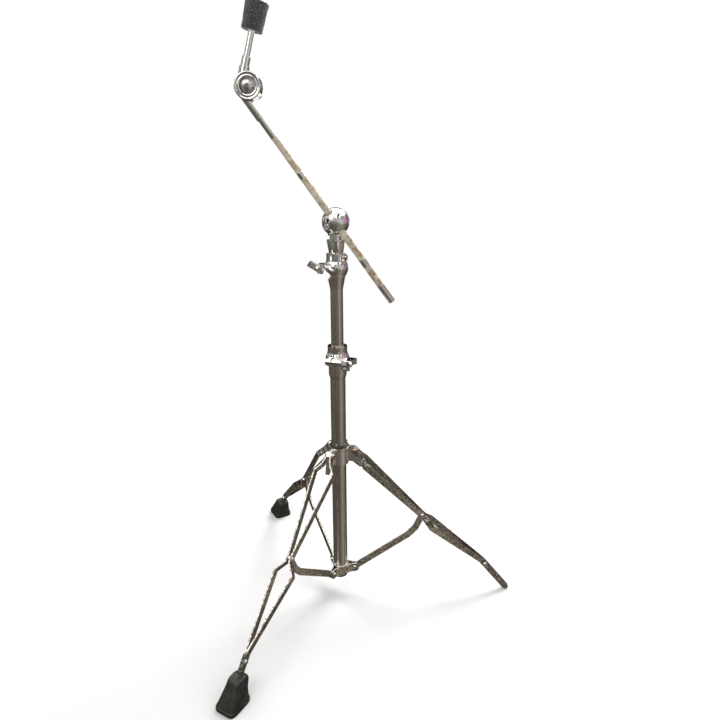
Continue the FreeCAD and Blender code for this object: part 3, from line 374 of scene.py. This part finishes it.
def knurled_steel(name):
    """Worn knurling: pale cream on the plain bands, tan in blotches on the knurled stretches, and rust specks that
    grow thicker low down.
    """
    material, graph = new_graph(name)
    here = graph.add("ShaderNodeTexCoord").outputs["Object"]
    axis = Vector(ARM["axis"]).normalized()
    along = graph.add("ShaderNodeVectorMath", {0: here, 1: tuple(axis)}, operation="DOT_PRODUCT")
    station = graph.math("SUBTRACT", along.outputs["Value"], axis.dot(Vector(ARM["pos_m"])))
    place = graph.math("ADD", graph.math("MULTIPLY", station, RAMP_PER_METRE), RAMP_AT_BALL)
    stops = []
    for start, end in PLAIN_BANDS:
        stops += [(start * RAMP_PER_METRE + RAMP_AT_BALL, (1, 1, 1)),
                  (end * RAMP_PER_METRE + RAMP_AT_BALL, (0, 0, 0))]
    plain = graph.ramp(place, stops, "CONSTANT")
    blotch = graph.noise(here, 90.0, 5.0, 0.6)
    fine = graph.noise(here, 420.0, 6.0, 0.7)
    low = graph.math("MULTIPLY", graph.math("SUBTRACT", 0.03, station), 7.0, True)
    rust_edge = graph.math("ADD", graph.math("MULTIPLY", fine, 0.6), graph.math("MULTIPLY", blotch, 0.4))
    rust_edge = graph.math("ADD", rust_edge, graph.math("MULTIPLY", low, 0.11))
    rusty = graph.ramp(rust_edge, [(0.56, (0, 0, 0)), (0.66, (1, 1, 1))])
    rusty = graph.math("MULTIPLY", rusty, graph.math("SUBTRACT", 1.0, graph.math("MULTIPLY", plain, 0.6)))
    tan = graph.mix(graph.ramp(blotch, [(0.38, (0, 0, 0)), (0.62, (1, 1, 1))]), (0.68, 0.61, 0.50),
                    (0.46, 0.38, 0.27))
    colour = graph.mix(plain, tan, (0.78, 0.76, 0.72))
    colour = graph.mix(graph.math("MULTIPLY", rusty, 0.85), colour, (0.20, 0.085, 0.035))
    metal = graph.math("ADD", graph.math("MULTIPLY", plain, 0.65), 0.35)
    metal = graph.math("SUBTRACT", metal, graph.math("MULTIPLY", rusty, 0.3), True)
    roughness = graph.math("SUBTRACT", 0.40, graph.math("MULTIPLY", plain, 0.27))
    roughness = graph.math("ADD", roughness, graph.math("MULTIPLY", rusty, 0.4))
    normal = graph.bump(fine, 0.3, 0.0003)
    finish_surface(graph, {"Base Color": colour, "Metallic": metal, "Roughness": roughness,
                           "Normal": normal})
    return material


# Plated finishes: tint, roughness, haze, pits, rust, waviness, mottling
PLATED = {
    "chrome": ((0.88, 0.87, 0.85), 0.04, 0.05, 0.30, 0.2, 0.22, 0.0),
    "tube_chrome": ((0.80, 0.78, 0.74), 0.07, 0.10, 0.30, 0.12, 0.06, 0.0),
    "leg_chrome": ((0.86, 0.84, 0.79), 0.07, 0.12, 0.9, 0.75, 0.5, 0.85),
    "polished_casting": ((0.95, 0.94, 0.90), 0.20, 0.05, 0.3, 0.3, 0.9, 0.0),
    "satin_chrome": ((0.62, 0.61, 0.59), 0.28, 0.05, 0.2, 0.0, 0.1, 0.0),
    "rusted_bolt": ((0.62, 0.50, 0.40), 0.20, 0.2, 0.6, 1.0, 0.3, 0.5),
    "zinc": ((0.76, 0.75, 0.73), 0.16, 0.12, 0.4, 0.5, 0.2, 0.0),
}
MATERIALS = {name: aged_chrome(name, *finish) for name, finish in PLATED.items()}
MATERIALS["knurled_chrome"] = knurled_steel("knurled_chrome")
MATERIALS["foot_rubber"] = worn_rubber("foot_rubber", (0.016, 0.0155, 0.012), (0.055, 0.053, 0.042))
MATERIALS["felt"] = wool_felt("felt", (0.024, 0.024, 0.021), (0.27, 0.265, 0.24))
MATERIALS["black_nylon"] = satin_plastic("black_nylon", (0.015, 0.015, 0.015), 0.35)
MATERIALS["white_nylon"] = satin_plastic("white_nylon", (0.78, 0.77, 0.72), 0.4)
# Pieces whose finish differs from the rest of their slot
OWN_FINISH = {"leg_pivot_bolts": "rusted_bolt", "badge_plate": "satin_chrome",
              "leg_collar": "polished_casting"}

BODY_OF = {node: body for body, nodes in frame["record"]["behaviour"]["bodies"].items()
           for node in nodes}
SLOT_OF = {}
for part in frame["record"]["subparts"]:
    SLOT_OF[part["node"]] = part["material_slot"]
    mesh = NODES[part["node"]].data
    mesh.materials.clear()
    mesh.materials.append(MATERIALS[part["material_slot"]])


# ------------------------------------------------------------------ pieces

def piece(name, mesh, slot, body, replaced=()):
    """Put a mesh in the scene, give it a slot's material, and let it ride on a CAD body."""
    obj = bpy.data.objects.new(name, mesh)
    bpy.context.collection.objects.link(obj)
    mesh.materials.clear()
    mesh.materials.append(MATERIALS[slot])
    for polygon in mesh.polygons:
        polygon.use_smooth = True
    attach(obj, body)
    if replaced:
        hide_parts(*replaced)
    return obj


def rings_mesh(name, rings, cap_start=True, cap_end=True):
    """Mesh through a list of closed rings, each a list of the same number of points."""
    count = len(rings[0])
    points = [point for ring in rings for point in ring]
    faces = []
    for row in range(len(rings) - 1):
        for i in range(count):
            j = (i + 1) % count
            faces.append((row * count + i, row * count + j, (row + 1) * count + j, (row + 1) * count + i))
    if cap_start:
        faces.append(tuple(reversed(range(count))))
    if cap_end:
        faces.append(tuple(range((len(rings) - 1) * count, len(rings) * count)))
    mesh = bpy.data.meshes.new(name)
    mesh.from_pydata([tuple(point) for point in points], [], faces)
    mesh.update()
    return mesh


def weld(mesh):
    """Join the points where a closed run of rings meets itself, and turn every face outwards."""
    shape = bmesh.new()
    shape.from_mesh(mesh)
    bmesh.ops.remove_doubles(shape, verts=shape.verts, dist=1e-7)
    bmesh.ops.recalc_face_normals(shape, faces=shape.faces)
    shape.to_mesh(mesh)
    shape.free()


def knurled_arm():
    """Boom arm with real diamond knurling between plain bands, hollow at its lower end."""
    radius = 0.00632
    around = 120
    starts = 30
    pitch = TAU * radius / starts
    knurl_depth = 0.00042
    crest_power = 0.7
    fine_step, plain_step = 0.00036, 0.0012
    edge_room = 0.0008
    slack = 1e-6
    rings = []
    station = ARM_LOW
    while station <= ARM_HIGH + 1e-9:
        is_plain = any(start - slack <= station <= end + slack for start, end in PLAIN_BANDS)
        ring = []
        for i in range(around):
            angle = TAU * i / around
            depth = 0.0
            if not is_plain:
                left = math.sin(starts * angle / 2 + math.pi * station / pitch)
                right = math.sin(starts * angle / 2 - math.pi * station / pitch)
                depth = knurl_depth * (1.0 - abs(left) ** crest_power * abs(right) ** crest_power)
            r = radius - depth
            ring.append(ARM_FRAME @ Vector((r * math.cos(angle), r * math.sin(angle), station)))
        rings.append(ring)
        inside_band = is_plain and not any(abs(station - edge) < edge_room
                                           for span in PLAIN_BANDS for edge in span)
        station += plain_step if inside_band else fine_step
    bore = 0.0044
    bore_depth = 0.05
    for depth in (0.0, bore_depth):
        ring = [ARM_FRAME @ Vector((bore * math.cos(TAU * i / around), bore * math.sin(TAU * i / around),
                                    ARM_LOW + depth)) for i in range(around)]
        rings.insert(0, ring)
    mesh = rings_mesh("knurled_boom_arm", rings)
    return piece("knurled_boom_arm", mesh, "knurled_chrome", "arm", ("boom_arm",))


# Width of the rounded edge, metres, for the first part of a name that a node's name holds
EDGE_ROUNDING = (("_wing_nut", 0.0013), ("_wing_screw", 0.0010), ("leg_collar", 0.0012),
                 ("_clamp_collar", 0.0018), ("_memory_lock", 0.0028), ("tilter_", 0.0009),
                 ("_strip", 0.0008), ("_stay", 0.0009), ("lower_bracket", 0.0008), ("", 0.00045))
SAME_POINT = 2e-6
FLAT_ANGLE = math.radians(0.5)
SHARP_ANGLE = math.radians(33)


def softened(node):
    """The CAD node's own shape with its sharp edges rounded, as cast and stamped parts are."""
    mesh = NODES[node].data.copy()
    mesh.name = "soft_" + node
    shape = bmesh.new()
    shape.from_mesh(mesh)
    bmesh.ops.remove_doubles(shape, verts=shape.verts, dist=SAME_POINT)
    bmesh.ops.dissolve_limit(shape, angle_limit=FLAT_ANGLE, verts=shape.verts, edges=shape.edges)
    shape.to_mesh(mesh)
    shape.free()
    obj = bpy.data.objects.new("soft_" + node, mesh)
    bpy.context.collection.objects.link(obj)
    bevel = obj.modifiers.new("round", "BEVEL")
    bevel.limit_method = "ANGLE"
    bevel.angle_limit = SHARP_ANGLE
    bevel.width = next(width for part, width in EDGE_ROUNDING if part in node)
    bevel.segments = 2
    bevel.use_clamp_overlap = True
    bevel.harden_normals = False
    weights = obj.modifiers.new("even", "WEIGHTED_NORMAL")
    weights.keep_sharp = False
    bpy.context.view_layer.update()
    for polygon in mesh.polygons:
        polygon.use_smooth = True
    graph = bpy.context.evaluated_depsgraph_get()
    shaped = bpy.data.meshes.new_from_object(obj.evaluated_get(graph), preserve_all_data_layers=True,
                                             depsgraph=graph)
    obj.modifiers.clear()
    obj.data = shaped
    shaped.name = "soft_" + node
    shaped.materials.clear()
    shaped.materials.append(MATERIALS[OWN_FINISH.get(node, SLOT_OF[node])])
    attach(obj, BODY_OF[node])
    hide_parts(node)
    return obj


def superellipse(half_x, half_y, power, count):
    """Points of a closed outline: an ellipse at power 2, squarer with a higher power."""
    points = []
    for i in range(count):
        angle = TAU * i / count
        cosine, sine = math.cos(angle), math.sin(angle)
        points.append((half_x * math.copysign(abs(cosine) ** (2 / power), cosine),
                       half_y * math.copysign(abs(sine) ** (2 / power), sine)))
    return points


# Boot sections up its height: height, back, front, half width (mm, leg pointing along +X), squareness
BOOT = ((0.0, 324.0, 373.6, 20.6, 5.0), (0.9, 323.2, 374.3, 21.3, 5.0), (7.0, 323.1, 374.4, 21.4, 5.0),
        (7.8, 323.5, 373.9, 21.0, 5.0), (8.4, 324.1, 372.8, 20.4, 4.4), (9.4, 323.8, 372.2, 20.3, 4.8),
        (14.0, 323.2, 369.2, 19.0, 4.6), (20.0, 322.3, 365.0, 17.6, 4.5), (26.0, 321.2, 360.8, 16.4, 4.4),
        (31.0, 318.8, 357.0, 15.2, 4.6), (36.5, 315.9, 353.2, 14.3, 4.3), (40.5, 316.2, 350.4, 14.0, 4.1),
        (43.5, 318.0, 348.2, 13.8, 3.8), (45.4, 320.0, 346.4, 13.2, 3.5), (46.6, 321.6, 345.2, 12.4, 3.2),
        (47.2, 323.0, 344.0, 11.4, 3.0), (47.0, 324.4, 342.8, 10.4, 2.8), (46.0, 326.2, 341.0, 9.0, 2.6))


def rubber_boot(node, facing):
    """Moulded boot over the two leg strips: flat sole band, drawn-in waist, rolled rim."""
    around = 72
    turn = Matrix.Rotation(math.radians(facing), 4, "Z")
    rings = []
    for up, back, front, half, power in BOOT:
        centre = (back + front) / 2
        rings.append([turn @ Vector(((centre + x) / 1000, y / 1000, up / 1000))
                      for x, y in superellipse((front - back) / 2, half, power, around)])
    mesh = rings_mesh("boot_" + node, rings)
    return piece("boot_" + node, mesh, "foot_rubber", BODY_OF[node], (node,))


def along_axis(node, axis):
    """Centre of a node's first face along an axis, and its thickness along it."""
    points = [vertex.co for vertex in NODES[node].data.vertices]
    places = [point.dot(axis) for point in points]
    start, end = min(places), max(places)
    same_face = 1e-5
    first = [point for point, place in zip(points, places) if place < start + same_face]
    centre = sum(first, Vector()) / len(first)
    return centre, end - start


# Unevenness of the felt: waves per metre, and height in metres
LUMPS, FIBRES, TUFTS = (95, 0.0007), (620, 0.00035), (260, 0.0006)
TORN, CRUSHED = (210, 0.0011), (60, 0.0009)


def uneven(point, kind, shift=(0, 0, 0)):
    """Height of one kind of unevenness at a point."""
    per_metre, height = kind
    return noise.noise(point * per_metre + Vector(shift)) * height


def wool_washer(node, low_radius, high_radius, seed, ragged_top):
    """Thick felt washer: fibrous skin, crushed edges, worn and uneven where the cymbal rubs."""
    axis = Vector(JOINTS["upper_felt_lift"]["axis"]).normalized()
    base, thick = along_axis(node, axis)
    side = axis.orthogonal().normalized()
    across = axis.cross(side)
    bore = 0.00595
    around = 180
    smooth_bore, skin_run, drawn_in = 0.002, 0.006, 0.0004
    profile = [(bore, 0.04), (bore + 0.004, 0.0), (low_radius - 0.0014, 0.0), (low_radius - 0.0004, 0.012),
               (low_radius, 0.04)]
    steps = 14
    for i in range(steps + 1):
        share = i / steps
        profile.append((low_radius + (high_radius - low_radius) * share, 0.07 + 0.87 * share))
    profile += [(high_radius, 0.965), (high_radius - 0.0004, 0.99), (high_radius - 0.0014, 1.0),
                (bore + 0.005, 1.0), (bore, 0.96)]
    rings = []
    for r, up in profile:
        ring = []
        for i in range(around):
            angle = TAU * i / around
            outward = side * math.cos(angle) + across * math.sin(angle)
            point = base + outward * r + axis * thick * up
            skin = min(1.0, max(0.0, (r - bore - smooth_bore) / skin_run))
            lumps = uneven(point, LUMPS, (seed, 0, 0))
            fibres = uneven(point, FIBRES, (0, seed, 0))
            tufts = max(0.0, uneven(point, TUFTS, (0, 0, seed)))
            reach = r + (lumps + fibres + tufts - drawn_in) * skin
            rise = thick * up
            if ragged_top and up > 0.9:
                rise += (uneven(point, TORN) + uneven(point, CRUSHED)) * skin
            ring.append(base + outward * reach + axis * rise)
        rings.append(ring)
    rings.append(rings[0])
    mesh = rings_mesh("wool_" + node, rings, False, False)
    weld(mesh)
    obj = piece("wool_" + node, mesh, "felt", BODY_OF[node], (node,))
    return obj


def turned_face():
    """Proud rings turned into the front face of the cymbal tilter's head."""
    centre = Vector(JOINTS["cymbal_tilter_tilt"]["pos_m"])
    centre.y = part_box("tilter_upper")[0][1]
    # radius, and height above the face, mm
    profile = ((22.25, -0.25), (22.1, 0.55), (21.5, 1.05), (20.6, 1.2), (19.8, 0.95), (18.6, 0.30),
               (17.4, 0.05), (16.9, 0.30), (16.2, 0.75), (15.4, 0.85), (14.6, 0.60), (13.6, 0.10),
               (13.0, -0.25))
    around = 128
    rings = [[centre + Vector((r / 1000 * math.cos(TAU * i / around), -up / 1000,
                               r / 1000 * math.sin(TAU * i / around))) for i in range(around)]
             for r, up in profile]
    rings.append(rings[0])
    mesh = rings_mesh("turned_head_face", rings, False, False)
    weld(mesh)
    return piece("turned_head_face", mesh, "chrome", BODY_OF["tilter_upper"])


knurled_arm()
rubber_boot("front_foot", -120)
rubber_boot("rear_foot", 120)
wool_washer("lower_felt", 0.0178, 0.0187, 3.0, False)
wool_washer("upper_felt", 0.0187, 0.0197, 11.0, True)
turned_face()
KEPT_AS_IS = {"boom_arm", "front_foot", "rear_foot", "lower_felt", "upper_felt", "cymbal_rod",
              "arm_liner", "cymbal_sleeve", "tube_end_plug", "ferrule_set_screw"}
for name in sorted(NODES):
    if name not in KEPT_AS_IS and "rivet" not in name:
        softened(name)
